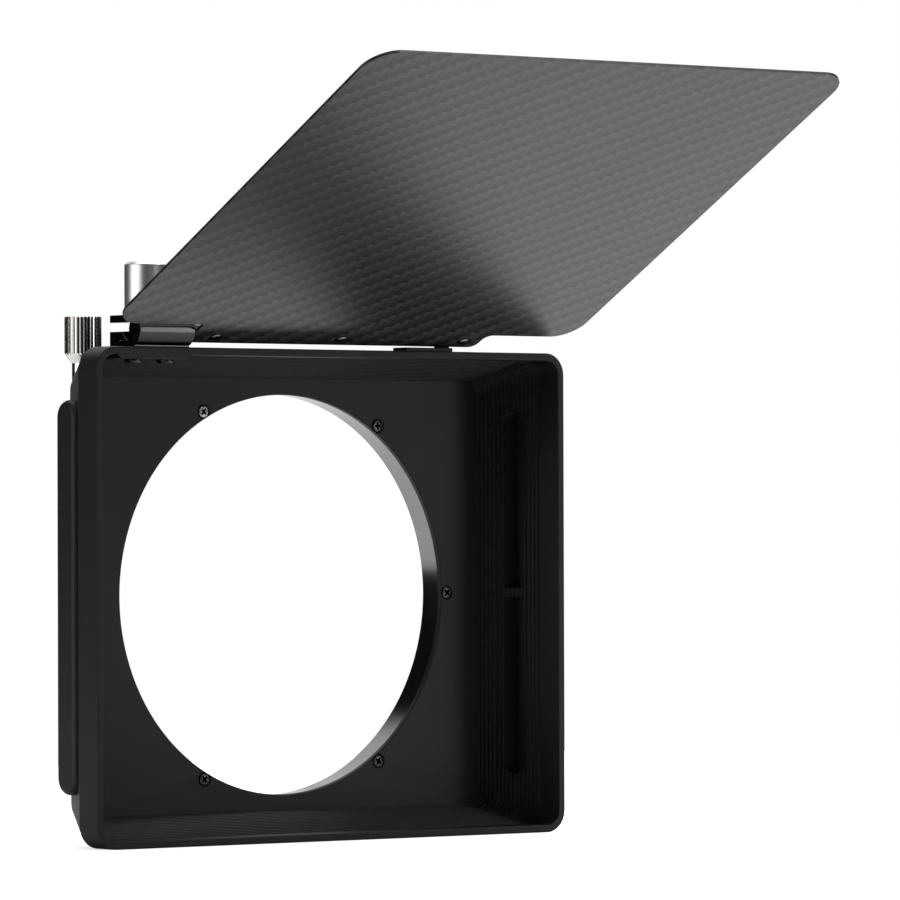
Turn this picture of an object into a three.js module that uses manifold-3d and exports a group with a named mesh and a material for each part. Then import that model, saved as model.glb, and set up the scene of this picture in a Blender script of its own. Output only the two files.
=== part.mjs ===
// Matte box for a cine lens: a deep hood with a stepped inside, a split clamp ring
// behind it, a hinged top flag of woven carbon and an accessory clamp at the upper left.
// Millimetres. The origin is on the lens axis at the rear face of the clamp ring,
// the hood opens toward -Y, and +Z is up.
import * as THREE from 'three';
import { ConvexGeometry } from 'three/addons/geometries/ConvexGeometry.js';
import { mergeVertices } from 'three/addons/utils/BufferGeometryUtils.js';
import Module from 'manifold-3d';

const wasm = await Module();
wasm.setup();

// Sizes shared by several pieces.
const overrun = 2;
const runningGap = 0.05;
const seatGap = 0.1;
const edgeBreak = 0.4;
const roundSegments = 28;
const boreSegments = 96;
const screwSegments = 18;
const cornerSegments = 4;

// Hood.
const rimWidth = 207;
const rimHeight = 174;
const rimCorner = 8;
const rimWall = 2.7;
const bandDepth = 11;
const shoulderStep = 0.8;
const hoodDepth = 33.9;
const plateThickness = 2;
const sideTaper = 12.3;
const topTaper = 7;
const rearWall = 2.2;
const steppedFrom = 11.2;
const stepCount = 15;

// Side casings of the hood and the pockets inside them.
const casingInset = 0.5;
const casingDepth = 20.3;
const casingEndInset = 18.3;
const casingThickness = 12;
const casingBevel = 2.4;
const pocketDepth = 19.7;
const pocketWall = 2.8;
const pocketEndWall = 2.5;
const pocketWidth = 7;
const pocketBridge = 3.3;
const pinholeInsetX = 7.95;
const pinholeInsetZ = 4.8;
const pinholeDiameter = 1;

// Lens bore and clamp ring.
const lensBore = 143;
const ringBore = 144;
const ringOuter = 156;
const ringDepth = 10;
const flangeDepth = 2;
const reliefSlot = 1;
const reliefHeight = 72;
const reliefReach = 60;
const ringSplit = 2;
const earHeight = 22;
const shoulderLow = 56;
const shoulderHigh = 68;

// Ring screws: countersunk, from the front of the hood's back plate.
const ringScrewCircle = 148.2;
const ringScrewAngles = [0, 55, 118.25, -118.25, -55];
const ringScrewLength = 8;
const ringScrewThread = 2.5;
const ringScrewHead = 4.4;
const ringScrewHeadDepth = 1.3;

// Thumbscrew that closes the ring.
const thumbPast = 4.1;
const thumbLand = 5.9;
const thumbDepth = 39.4;
const thumbHeadDiameter = 13.1;
const thumbHeadRise = 16.8;
const thumbHeadHeight = 13.5;
const thumbShaftDiameter = 7.4;
const thumbConeHeight = 2.8;
const thumbThread = 4;
const thumbTip = 13;
const knurlCount = 30;
const knurlDepth = 0.45;

// Accessory clamp.
const clampSpacing = 28.2;
const clampDepth = 41;
const clampWidth = 22.7;
const clampThickness = 11.8;
const clampRise = 31.3;
const clampJaw = 2.7;
const clampSlit = 3.2;
const clampSlitPast = 3.9;
const clampHeadHeight = 17.3;
const clampFootInset = 1;
const clampFlange = 3;
const clampScrewSpread = 12;
const clampScrewLength = 9;
const knobDiameter = 14.8;
const knobHeight = 19;
const knobChamfer = 1.1;
const studThread = 5;
const studBelow = 14.3;
const studAbove = 11.7;

// Flag hinge.
const hingeDepth = 4;
const hingeHeight = 6.2;
const rodDiameter = 8.9;
const rodEndInset = 2.3;
const rodFlat = 2.864;
const hookWall = 1.7;

// Left bracket, a long hook open toward the top and the rear.
const leftHookInset = 17.1;
const leftHookLength = 23.4;
const leftHookOpenFrom = -10;
const leftHookOpenTo = 118;
const leftFootFront = 1.5;
const leftFootRear = 11;
const leftFootHeight = 2.2;
const padPast = 6.6;
const padShort = 1.7;
const padDrop = 1.5;
const leftScrewInsets = [3.8, 17.4];
const leftScrewDepth = 8;
const leftScrewLength = 6.6;
const leftScrewThread = 3;
const leftScrewHead = 5.8;
const leftScrewHeadHeight = 1.3;

// Right bracket, a thin base with a narrow hook open toward the front.
const rightBaseInset = 50.7;
const rightBaseLength = 20.9;
const rightBaseFront = 0.8;
const rightBaseRear = 8.8;
const rightBaseHeight = 1.3;
const rightHookLength = 2.8;
const rightHookOpenFrom = 92;
const rightHookOpenTo = 254;
const rightScrewInsets = [3.6, 13.4];
const rightScrewDepth = 5;
const rightScrewLength = 3.4;
const rightScrewThread = 1.6;
const rightScrewHead = 3;
const rightScrewHeadDepth = 0.75;

// Top flag, in the frame of its hinge: +Y toward the rear, the plate hangs below the axis.
const flagRestAngle = 29.28;
const flagThickness = 1.05;
const flagLeftInset = 2;
const flagRightPast = 0.7;
const flagFront = 183.35;
const flagCorner = 11;
const flagWingCorner = 10.3;
const tabRear = 2.07;
const tabClearance = 0.4;
const tabRightInset = 38.5;
const tabPastRod = 5;
const tabFillet = 3.4;
const notchFillet = 1;
const leftWingRear = 10.13;
const rightWingRear = 6.33;
const flagScrewLeftInset = 10.3;
const flagScrewRightInset = 2.3;
const flagScrewForward = 1.33;
const flagScrewLength = 3.6;
const flagScrewThread = 2;
const flagScrewHead = 4.2;
const flagScrewHeadDepth = 1.1;

// Drive recess of the screws, as shares of the head.
const recessLengthShare = 0.6;
const recessWidthShare = 0.15;
const recessDepthShare = 0.55;

const rimFront = -ringDepth - hoodDepth;
const plateRear = -ringDepth;
const plateFront = plateRear - plateThickness;
const rimSide = rimWidth / 2;
const rimTop = rimHeight / 2;
const rearWidth = rimWidth - 2 * sideTaper;
const rearHeight = rimHeight - 2 * topTaper;
const casingReach = rimSide - casingInset;
const casingHeight = rimHeight - 2 * casingEndInset;
const pocketReach = casingReach - pocketWall;
const pocketHeight = casingHeight - 2 * pocketEndWall;
const thumbX = ringOuter / 2 + thumbPast;
const thumbHeadLow = shoulderHigh + thumbHeadRise;
const thumbHeadHigh = thumbHeadLow + thumbHeadHeight;
const thumbConeLow = thumbHeadLow - thumbConeHeight;
const clampX = thumbX - clampSpacing;
const clampTop = shoulderHigh + clampRise;
const studLow = clampTop - studBelow;
const studHigh = clampTop + studAbove;
const hingeY = rimFront + hingeDepth;
const hingeZ = rimTop + hingeHeight;
const rodRadius = rodDiameter / 2;
const hookBore = rodRadius + runningGap;
const hookOuter = hookBore + hookWall;
const leftHookFrom = rimSide - leftHookInset;
const leftHookTo = leftHookFrom - leftHookLength;
const rightBaseTo = rimSide - rightBaseInset;
const rightBaseFrom = rightBaseTo - rightBaseLength;
const tabLeft = leftHookTo - tabClearance;
const tabRight = rimSide - tabRightInset;
const rodLeft = leftHookFrom - rodEndInset;
const rodRight = tabRight - tabPastRod;

const blackHood = { color: 0x1f1f20, roughness: 0.62, metalness: 0.1 };
const blackRing = { color: 0x232324, roughness: 0.4, metalness: 0.6 };
const blackBracket = { color: 0x222222, roughness: 0.45, metalness: 0.5 };
const darkScrew = { color: 0x4a4a4c, roughness: 0.35, metalness: 1 };
const greySteel = { color: 0x9a9a9c, roughness: 0.32, metalness: 1 };
const satinSilver = { color: 0xb9b8b4, roughness: 0.36, metalness: 1 };
const wovenCarbon = { color: 0x3a3a3c, roughness: 0.5, metalness: 0.1 };

// Turn a geometry into a solid for joins and cuts.
function solid(geometry) {
  const bare = geometry.index ? geometry.toNonIndexed() : geometry.clone();
  bare.deleteAttribute('normal');
  bare.deleteAttribute('uv');
  const merged = mergeVertices(bare, overrun * 1e-5);
  const index = Array.from(merged.index.array);
  const kept = [];
  for (let i = 0; i < index.length; i += 3) {
    const [a, b, c] = index.slice(i, i + 3);
    if (a !== b && b !== c && c !== a) kept.push(a, b, c);
  }
  return new wasm.Manifold(new wasm.Mesh({
    numProp: 3,
    vertProperties: Float32Array.from(merged.attributes.position.array),
    triVerts: Uint32Array.from(kept),
  }));
}

// Turn a solid back into a geometry.
function surface(body) {
  const mesh = body.getMesh();
  const geometry = new THREE.BufferGeometry();
  const positions = Float32Array.from(mesh.vertProperties);
  geometry.setAttribute('position', new THREE.BufferAttribute(positions, 3));
  geometry.setIndex(Array.from(mesh.triVerts));
  return geometry;
}

function joined(bodies) {
  return bodies.reduce((whole, body) => whole.add(body));
}

function cut(body, tools) {
  return tools.reduce((rest, tool) => rest.subtract(tool), body);
}

function extruded(shape, length, bevel) {
  return new THREE.ExtrudeGeometry(shape, {
    depth: length - 2 * (bevel || 0),
    bevelEnabled: Boolean(bevel),
    bevelThickness: bevel || 0,
    bevelSize: bevel || 0,
    bevelOffset: -(bevel || 0),
    bevelSegments: 3,
    curveSegments: roundSegments / 4,
  }).translate(0, 0, bevel || 0);
}

// Extrude a shape drawn in X and Z from one Y to another.
function alongY(shape, front, rear, bevel) {
  return solid(extruded(shape, rear - front, bevel).rotateX(Math.PI / 2).translate(0, rear, 0));
}

// Extrude a shape drawn in Y and Z from one X to another.
function alongX(shape, left, right, bevel) {
  const geometry = extruded(shape, right - left, bevel);
  return solid(geometry.rotateX(Math.PI / 2).rotateZ(Math.PI / 2).translate(left, 0, 0));
}

// Extrude a shape drawn in X and Y from one Z to another.
function alongZ(shape, low, high, bevel) {
  return solid(extruded(shape, high - low, bevel).translate(0, 0, low));
}

function box(left, right, front, rear, low, high) {
  const geometry = new THREE.BoxGeometry(right - left, rear - front, high - low);
  return solid(geometry.translate((left + right) / 2, (front + rear) / 2, (low + high) / 2));
}

// Turn a closed profile of radius and height round the Z axis.
function turned(profile, segments) {
  const points = profile.map(([radius, height]) => new THREE.Vector2(radius, height));
  const lathe = new THREE.LatheGeometry(points, segments || roundSegments);
  return solid(lathe.rotateX(Math.PI / 2));
}

function rod(radius, low, high, segments) {
  return turned([[0, low], [radius, low], [radius, high], [0, high]], segments);
}

// Point a solid that was turned round Z along Y or along X.
function facingRear(body) {
  return body.rotate([-90, 0, 0]);
}

function facingRight(body) {
  return body.rotate([0, 90, 0]);
}

// A closed outline through corners of x, y and fillet radius, given anticlockwise.
function filleted(corners) {
  const points = [];
  const count = corners.length;
  corners.forEach(([x, y, radius], i) => {
    if (!radius) {
      points.push(new THREE.Vector2(x, y));
      return;
    }
    const here = new THREE.Vector2(x, y);
    const before = corners[(i + count - 1) % count];
    const after = corners[(i + 1) % count];
    const back = new THREE.Vector2(before[0], before[1]).sub(here).normalize();
    const ahead = new THREE.Vector2(after[0], after[1]).sub(here).normalize();
    const half = Math.acos(back.dot(ahead)) / 2;
    const middle = back.clone().add(ahead).normalize();
    const centre = here.clone().addScaledVector(middle, radius / Math.sin(half));
    const from = here.clone().addScaledVector(back, radius / Math.tan(half)).sub(centre);
    const turn = back.cross(ahead) < 0 ? 1 : -1;
    const sweep = Math.PI - 2 * half;
    for (let k = 0; k <= cornerSegments; k += 1) {
      const angle = (turn * sweep * k) / cornerSegments;
      points.push(from.clone().rotateAround(new THREE.Vector2(), angle).add(centre));
    }
  });
  return new THREE.Shape(points);
}

function roundedRectangle(width, height, radius) {
  const x = width / 2;
  const y = height / 2;
  return filleted([[-x, -y, radius], [x, -y, radius], [x, y, radius], [-x, y, radius]]);
}

// A slot with round ends, standing along the second axis.
function obround(middle, width, height) {
  const radius = width / 2;
  const reach = height / 2 - radius;
  const shape = new THREE.Shape();
  shape.absarc(middle, reach, radius, 0, Math.PI);
  shape.absarc(middle, -reach, radius, Math.PI, 2 * Math.PI);
  shape.closePath();
  return shape;
}

// Cut a cross recess into a head from its lower face at the given height.
function crossCut(body, head, face, headDepth) {
  const long = (head * recessLengthShare) / 2;
  const wide = (head * recessWidthShare) / 2;
  const deep = face + headDepth * recessDepthShare;
  return cut(body, [
    box(-long, long, -wide, wide, face - overrun, deep),
    box(-wide, wide, -long, long, face - overrun, deep),
  ]);
}

// A countersunk screw turned round Z, its head flush at zero and its thread going up.
function countersunk(head, headDepth, thread, length) {
  const rim = edgeBreak / 4;
  const body = turned([
    [0, 0],
    [head / 2, 0],
    [head / 2, rim],
    [thread / 2, headDepth],
    [thread / 2, length - edgeBreak],
    [thread / 2 - edgeBreak, length],
    [0, length],
  ], screwSegments);
  return crossCut(body, head, 0, headDepth);
}

// The hole for the same screw, larger all round by the running gap.
function countersink(head, headDepth, thread, length) {
  const rim = edgeBreak / 4;
  const wide = head / 2 + runningGap * 4;
  const narrow = thread / 2 + runningGap;
  return turned([
    [0, -overrun],
    [wide, -overrun],
    [wide, rim],
    [narrow, headDepth + runningGap],
    [narrow, length + seatGap],
    [0, length + seatGap],
  ], screwSegments);
}

// A pan-head screw turned round Z, its head below zero and its thread going up.
function panHead(head, headHeight, thread, length) {
  const crown = headHeight / 2;
  const body = turned([
    [0, -headHeight],
    [head / 2 - crown, -headHeight],
    [head / 2 - crown / 3, -headHeight + crown / 3],
    [head / 2, -crown],
    [head / 2, 0],
    [thread / 2, 0],
    [thread / 2, length - edgeBreak],
    [thread / 2 - edgeBreak, length],
    [0, length],
  ], screwSegments);
  return crossCut(body, head, -headHeight, headHeight);
}

// The plain hole for the thread of a pan-head screw.
function plainHole(thread, length) {
  return rod(thread / 2 + runningGap, -overrun, length + seatGap, screwSegments);
}

// Rounded bar round the hinge with an open sector, seen along X in degrees from the rear.
function hookProfile(openFrom, openTo) {
  const from = THREE.MathUtils.degToRad(openTo);
  const to = THREE.MathUtils.degToRad(openFrom) + 2 * Math.PI;
  const shape = new THREE.Shape();
  shape.absarc(hingeY, hingeZ, hookOuter, from, to, false);
  shape.absarc(hingeY, hingeZ, hookBore, to, from, true);
  shape.closePath();
  return shape;
}

// Screws on the hood: where each one stands and which way its head faces.
function ringScrewPlaces() {
  return ringScrewAngles.map((degrees) => {
    const angle = THREE.MathUtils.degToRad(degrees);
    const radius = ringScrewCircle / 2;
    return [radius * Math.cos(angle), plateFront, radius * Math.sin(angle)];
  });
}

function leftScrewPlaces() {
  const low = rimTop - rimWall - padDrop;
  const depth = rimFront + leftScrewDepth;
  return leftScrewInsets.map((inset) => [-leftHookFrom + inset, depth, low]);
}

function rightScrewPlaces() {
  const high = rimTop + rightBaseHeight;
  const depth = rimFront + rightScrewDepth;
  return rightScrewInsets.map((inset) => [rightBaseFrom + inset, depth, high]);
}

function clampScrewPlaces() {
  const middle = (shoulderLow + shoulderHigh) / 2;
  return [-1, 1].map((side) => [-clampX + (side * clampScrewSpread) / 2, clampFlange, middle]);
}

function ringScrewHole(place) {
  const hole = countersink(ringScrewHead, ringScrewHeadDepth, ringScrewThread, ringScrewLength);
  return facingRear(hole).translate(place);
}

function leftScrewHole(place) {
  return plainHole(leftScrewThread, leftScrewLength).translate(place);
}

function rightScrewHole(place) {
  return countersink(rightScrewHead, rightScrewHeadDepth, rightScrewThread, rightScrewLength)
    .rotate([180, 0, 0])
    .translate(place);
}

function clampScrewHole(place) {
  return countersink(ringScrewHead, ringScrewHeadDepth, ringScrewThread, clampScrewLength)
    .rotate([90, 0, 0])
    .translate(place);
}

// Hood outside: a straight band at the mouth, then a taper back to the plate.
function hoodOutside() {
  const band = alongY(roundedRectangle(rimWidth, rimHeight, rimCorner), rimFront, rimFront + bandDepth);
  const front = roundedRectangle(
    rimWidth - 2 * shoulderStep,
    rimHeight - 2 * shoulderStep,
    rimCorner,
  ).getPoints();
  const rear = roundedRectangle(rearWidth, rearHeight, rimCorner).getPoints();
  const taperFront = rimFront + bandDepth / 2;
  const ends = [
    ...front.map((p) => new THREE.Vector3(p.x, taperFront, p.y)),
    ...front.map((p) => new THREE.Vector3(p.x, rimFront + bandDepth, p.y)),
    ...rear.map((p) => new THREE.Vector3(p.x, plateRear, p.y)),
  ];
  return band.add(solid(new ConvexGeometry(ends)));
}

function casing(side) {
  const shape = obround(rimFront + casingDepth, casingThickness, casingHeight);
  const inner = pocketReach - casingThickness;
  const body = alongX(shape, inner, casingReach, casingBevel);
  return side > 0 ? body : body.mirror([1, 0, 0]);
}

// The opening narrows toward the plate in equal steps, which trap stray light.
function steppedOpening() {
  const frontWidth = rimWidth - 2 * rimWall;
  const frontHeight = rimHeight - 2 * rimWall;
  const rearOpeningWidth = rearWidth - 2 * rearWall;
  const rearOpeningHeight = rearHeight - 2 * rimWall;
  const stepLength = (hoodDepth - plateThickness - steppedFrom) / stepCount;
  const tools = [];
  for (let i = 0; i <= stepCount; i += 1) {
    const share = i / stepCount;
    const width = THREE.MathUtils.lerp(frontWidth, rearOpeningWidth, share);
    const height = THREE.MathUtils.lerp(frontHeight, rearOpeningHeight, share);
    const rear = rimFront + steppedFrom + i * stepLength;
    const shape = roundedRectangle(width, height, rimCorner - rimWall);
    tools.push(alongY(shape, rimFront - overrun, rear));
  }
  return tools;
}

function pockets() {
  const shape = obround(rimFront + pocketDepth, pocketWidth, pocketHeight);
  const whole = alongX(shape, -pocketReach, pocketReach);
  const bridge = box(
    -rimWidth,
    rimWidth,
    rimFront,
    plateRear,
    -pocketBridge / 2,
    pocketBridge / 2,
  );
  return whole.subtract(bridge);
}

function hood() {
  const outside = joined([hoodOutside(), casing(1), casing(-1)]);
  const padLow = rimTop - rimWall - padDrop;
  const padLeft = leftHookFrom + padPast;
  const padRight = leftHookTo + padShort;
  const padShape = new THREE.Shape([
    new THREE.Vector2(-padLeft, padLow),
    new THREE.Vector2(-padRight, padLow),
    new THREE.Vector2(-padRight + 2 * padDrop, padLow + 2 * padDrop),
    new THREE.Vector2(-padLeft - 2 * padDrop, padLow + 2 * padDrop),
  ]);
  const pad = alongY(padShape, rimFront, rimFront + steppedFrom + padDrop);
  const bore = facingRear(rod(lensBore / 2, plateFront - overrun, plateRear + overrun, boreSegments));
  const pinhole = facingRear(rod(pinholeDiameter / 2, plateFront - overrun, plateRear + overrun))
    .translate([rearWidth / 2 - pinholeInsetX, 0, rearHeight / 2 - pinholeInsetZ]);
  return surface(cut(cut(outside, steppedOpening()).add(pad), [
    pockets(),
    bore,
    pinhole,
    ...ringScrewPlaces().map(ringScrewHole),
    ...leftScrewPlaces().map(leftScrewHole),
    ...rightScrewPlaces().map(rightScrewHole),
  ]));
}

// Clamp ring: a whole front flange carries a band that is split on the left.
function clampRing() {
  const bandFront = plateRear + flangeDepth + reliefSlot;
  const band = facingRear(rod(ringOuter / 2, plateRear, 0, boreSegments));
  const left = -thumbX - thumbLand;
  const right = -clampX + clampWidth / 2;
  const ears = box(left, -reliefReach, bandFront, 0, -earHeight / 2, earHeight / 2);
  const shoulder = box(left, right, plateRear, 0, shoulderLow, shoulderHigh);
  const relief = box(
    -ringOuter,
    -reliefReach,
    plateRear + flangeDepth,
    bandFront,
    -reliefHeight / 2,
    reliefHeight / 2,
  );
  const split = box(
    -ringOuter,
    -reliefReach,
    bandFront - reliefSlot / 2,
    overrun,
    -ringSplit / 2,
    ringSplit / 2,
  );
  const thumbY = thumbDepth + rimFront;
  const stud = rod(thumbThread / 2 + runningGap, -thumbTip - seatGap, thumbTip)
    .translate([-thumbX, thumbY, 0]);
  const guide = rod(thumbShaftDiameter / 2 + runningGap, shoulderLow - overrun, shoulderHigh + overrun)
    .translate([-thumbX, thumbY, 0]);
  const bore = facingRear(rod(ringBore / 2, plateRear - overrun, overrun, boreSegments));
  return surface(cut(joined([band, ears, shoulder]), [
    bore,
    relief,
    split,
    stud,
    guide,
    ...ringScrewPlaces().map(ringScrewHole),
    ...clampScrewPlaces().map(clampScrewHole),
  ]));
}

// Knurled outline: teeth round a circle.
function knurled(radius) {
  const points = [];
  for (let i = 0; i < knurlCount * 2; i += 1) {
    const angle = (i / (knurlCount * 2)) * 2 * Math.PI;
    const reach = i % 2 ? radius : radius - knurlDepth;
    points.push(new THREE.Vector2(reach * Math.cos(angle), reach * Math.sin(angle)));
  }
  return new THREE.Shape(points);
}

function thumbHead() {
  const radius = thumbHeadDiameter / 2;
  const teeth = alongZ(knurled(radius), thumbHeadLow, thumbHeadHigh);
  const chamfered = turned([
    [0, thumbHeadLow],
    [radius - edgeBreak, thumbHeadLow],
    [radius + edgeBreak, thumbHeadLow + 2 * edgeBreak],
    [radius + edgeBreak, thumbHeadHigh - 2 * edgeBreak],
    [radius - edgeBreak, thumbHeadHigh],
    [0, thumbHeadHigh],
  ]);
  const neck = turned([
    [0, thumbConeLow],
    [thumbShaftDiameter / 2, thumbConeLow],
    [radius - knurlDepth - edgeBreak, thumbHeadLow],
    [radius - knurlDepth - edgeBreak, thumbHeadLow + edgeBreak],
    [0, thumbHeadLow + edgeBreak],
  ]);
  return teeth.intersect(chamfered).add(neck);
}

// Thumbscrew: knurled head, plain shaft down to the upper ear, threaded end below.
function thumbscrew() {
  const shaftLow = earHeight / 2 + seatGap;
  const shaft = turned([
    [0, -thumbTip],
    [thumbThread / 2 - edgeBreak, -thumbTip],
    [thumbThread / 2, -thumbTip + edgeBreak],
    [thumbThread / 2, shaftLow],
    [thumbShaftDiameter / 2, shaftLow],
    [thumbShaftDiameter / 2, thumbConeLow + edgeBreak],
    [0, thumbConeLow + edgeBreak],
  ]);
  return surface(thumbHead().add(shaft));
}

// Accessory clamp block: two jaws joined on the right, on a flange behind the ring.
function clampBlock() {
  const left = -clampX - clampWidth / 2;
  const right = -clampX + clampWidth / 2;
  const middle = clampDepth + rimFront;
  const front = middle - clampThickness / 2;
  const side = filleted([
    [front, clampTop - clampHeadHeight, 0],
    [0, clampTop - clampHeadHeight, 0],
    [0, shoulderLow + clampFootInset, 0],
    [clampFlange, shoulderLow + clampFootInset, 0],
    [clampFlange, clampTop, 0],
    [front, clampTop, 0],
  ]);
  const body = alongX(side, left, right, edgeBreak);
  const slit = box(
    left - overrun,
    -clampX + clampSlitPast,
    front - overrun,
    clampFlange + overrun,
    clampTop - clampJaw - clampSlit,
    clampTop - clampJaw,
  );
  const bore = rod(studThread / 2 + runningGap, studLow - seatGap, clampTop + overrun)
    .translate([-clampX, middle, 0]);
  return surface(cut(body, [slit, bore, ...clampScrewPlaces().map(clampScrewHole)]));
}

function knob() {
  const radius = knobDiameter / 2;
  const low = clampTop + seatGap;
  const high = clampTop + knobHeight;
  const body = turned([
    [0, low],
    [radius - edgeBreak, low],
    [radius, low + edgeBreak],
    [radius, high - knobChamfer],
    [radius - knobChamfer, high],
    [0, high],
  ], roundSegments * 1.6);
  return surface(body.subtract(rod(studThread / 2 + runningGap, low - overrun, studHigh + seatGap)));
}

function stud() {
  const radius = studThread / 2;
  return surface(turned([
    [0, studLow],
    [radius - edgeBreak, studLow],
    [radius, studLow + edgeBreak],
    [radius, studHigh],
    [0, studHigh],
  ]));
}

// Left bracket: hook round the rod, on a foot that the two screws from below reach.
function leftBracket() {
  const hook = alongX(hookProfile(leftHookOpenFrom, leftHookOpenTo), -leftHookFrom, -leftHookTo);
  const foot = box(
    -leftHookFrom,
    -leftHookTo,
    rimFront + leftFootFront,
    rimFront + leftFootRear,
    rimTop,
    rimTop + leftFootHeight,
  );
  const bore = facingRight(rod(hookBore, -leftHookFrom - overrun, -leftHookTo + overrun))
    .translate([0, hingeY, hingeZ]);
  return surface(cut(hook.add(foot), [bore, ...leftScrewPlaces().map(leftScrewHole)]));
}

// Right bracket: thin base along the rim with a narrow hook at its right end.
function rightBracket() {
  const hook = alongX(
    hookProfile(rightHookOpenFrom, rightHookOpenTo),
    rightBaseTo - rightHookLength,
    rightBaseTo,
  );
  const top = rimTop + rightBaseHeight;
  const base = box(
    rightBaseFrom,
    rightBaseTo,
    rimFront + rightBaseFront,
    rimFront + rightBaseRear,
    rimTop,
    top,
  );
  const bore = facingRight(rod(hookBore, rightBaseTo - rightHookLength - overrun, rightBaseTo + overrun))
    .translate([0, hingeY, hingeZ]);
  return surface(cut(hook.add(base), [bore, ...rightScrewPlaces().map(rightScrewHole)]));
}

function flagScrewXs() {
  const left = -tabLeft + flagScrewLeftInset;
  const right = rodRight - flagScrewRightInset;
  return [left, (left + right) / 2, right];
}

function flagScrewHole(x) {
  return countersink(flagScrewHead, flagScrewHeadDepth, flagScrewThread, flagScrewLength)
    .translate([x, -flagScrewForward, -rodFlat - flagThickness]);
}

// Rod: round in the left bracket, with a flat below that carries the plate.
function flagRod() {
  const body = facingRight(rod(rodRadius, -rodLeft, rodRight));
  const flat = box(
    -tabLeft - seatGap,
    rodRight + overrun,
    -rodDiameter,
    rodDiameter,
    -rodDiameter,
    -rodFlat + seatGap,
  );
  return surface(cut(body, [flat, ...flagScrewXs().map(flagScrewHole)]));
}

// Plate: one sheet with a tab on the rod between two wings, cut back at the left bracket.
function flagPlate() {
  const flagLeft = rimSide - flagLeftInset;
  const flagRight = rimSide + flagRightPast;
  const shape = filleted([
    [-flagLeft, -flagFront, flagCorner],
    [flagRight, -flagFront, flagCorner],
    [flagRight, -rightWingRear, flagWingCorner],
    [tabRight, -rightWingRear, tabFillet * 0.98],
    [tabRight, tabRear, tabFillet],
    [-tabLeft, tabRear, 0],
    [-tabLeft, -leftWingRear, notchFillet],
    [-flagLeft, -leftWingRear, flagWingCorner],
  ]);
  const plate = alongZ(shape, -rodFlat - flagThickness, -rodFlat);
  return surface(cut(plate, flagScrewXs().map(flagScrewHole)));
}

function piece(name, geometry, finish) {
  const mesh = new THREE.Mesh(geometry, new THREE.MeshStandardMaterial(finish));
  mesh.name = name;
  return mesh;
}

const matteBox = new THREE.Group();
matteBox.add(piece('hood', hood(), blackHood));
matteBox.add(piece('clamp_ring', clampRing(), blackRing));

ringScrewPlaces().forEach((place, i) => {
  const body = countersunk(ringScrewHead, ringScrewHeadDepth, ringScrewThread, ringScrewLength);
  const screw = piece(`ring_screw_${i + 1}`, surface(facingRear(body)), i === 2 ? greySteel : darkScrew);
  screw.position.set(...place);
  matteBox.add(screw);
});

const thumb = piece('clamp_thumbscrew', thumbscrew(), satinSilver);
thumb.position.set(-thumbX, rimFront + thumbDepth, 0);
matteBox.add(thumb);

matteBox.add(piece('accessory_block', clampBlock(), blackBracket));
const accessory = new THREE.Group();
accessory.position.set(-clampX, rimFront + clampDepth, 0);
accessory.add(piece('accessory_knob', knob(), satinSilver));
accessory.add(piece('accessory_stud', stud(), greySteel));
matteBox.add(accessory);

clampScrewPlaces().forEach((place, i) => {
  const body = countersunk(ringScrewHead, ringScrewHeadDepth, ringScrewThread, clampScrewLength);
  const screw = piece(`accessory_screw_${i + 1}`, surface(body), darkScrew);
  screw.rotation.x = Math.PI / 2;
  screw.position.set(...place);
  matteBox.add(screw);
});

matteBox.add(piece('hinge_bracket_left', leftBracket(), blackBracket));
leftScrewPlaces().forEach((place, i) => {
  const body = panHead(leftScrewHead, leftScrewHeadHeight, leftScrewThread, leftScrewLength);
  const screw = piece(`left_bracket_screw_${i + 1}`, surface(body), darkScrew);
  screw.position.set(...place);
  matteBox.add(screw);
});

matteBox.add(piece('hinge_bracket_right', rightBracket(), blackBracket));
rightScrewPlaces().forEach((place, i) => {
  const body = countersunk(rightScrewHead, rightScrewHeadDepth, rightScrewThread, rightScrewLength);
  const screw = piece(`right_bracket_screw_${i + 1}`, surface(body), darkScrew);
  screw.rotation.x = Math.PI;
  screw.position.set(...place);
  matteBox.add(screw);
});

const flag = new THREE.Group();
flag.position.set(0, hingeY, hingeZ);
flag.rotation.x = -THREE.MathUtils.degToRad(flagRestAngle);
flag.add(piece('flag_rod', flagRod(), blackBracket));
flag.add(piece('flag_plate', flagPlate(), wovenCarbon));
flagScrewXs().forEach((x, i) => {
  const body = countersunk(flagScrewHead, flagScrewHeadDepth, flagScrewThread, flagScrewLength);
  const screw = piece(`flag_screw_${i + 1}`, surface(body), darkScrew);
  screw.position.set(x, -flagScrewForward, -rodFlat - flagThickness);
  flag.add(screw);
});
matteBox.add(flag);

export default matteBox;
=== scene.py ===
"""Looks of a clamp-on matte box: hood, clamp ring, hinged carbon flag and accessory clamp."""

import math

import bmesh
import bpy
from bpy.props import FloatProperty, FloatVectorProperty, IntProperty, PointerProperty
from mathutils import Matrix, Vector


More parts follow.
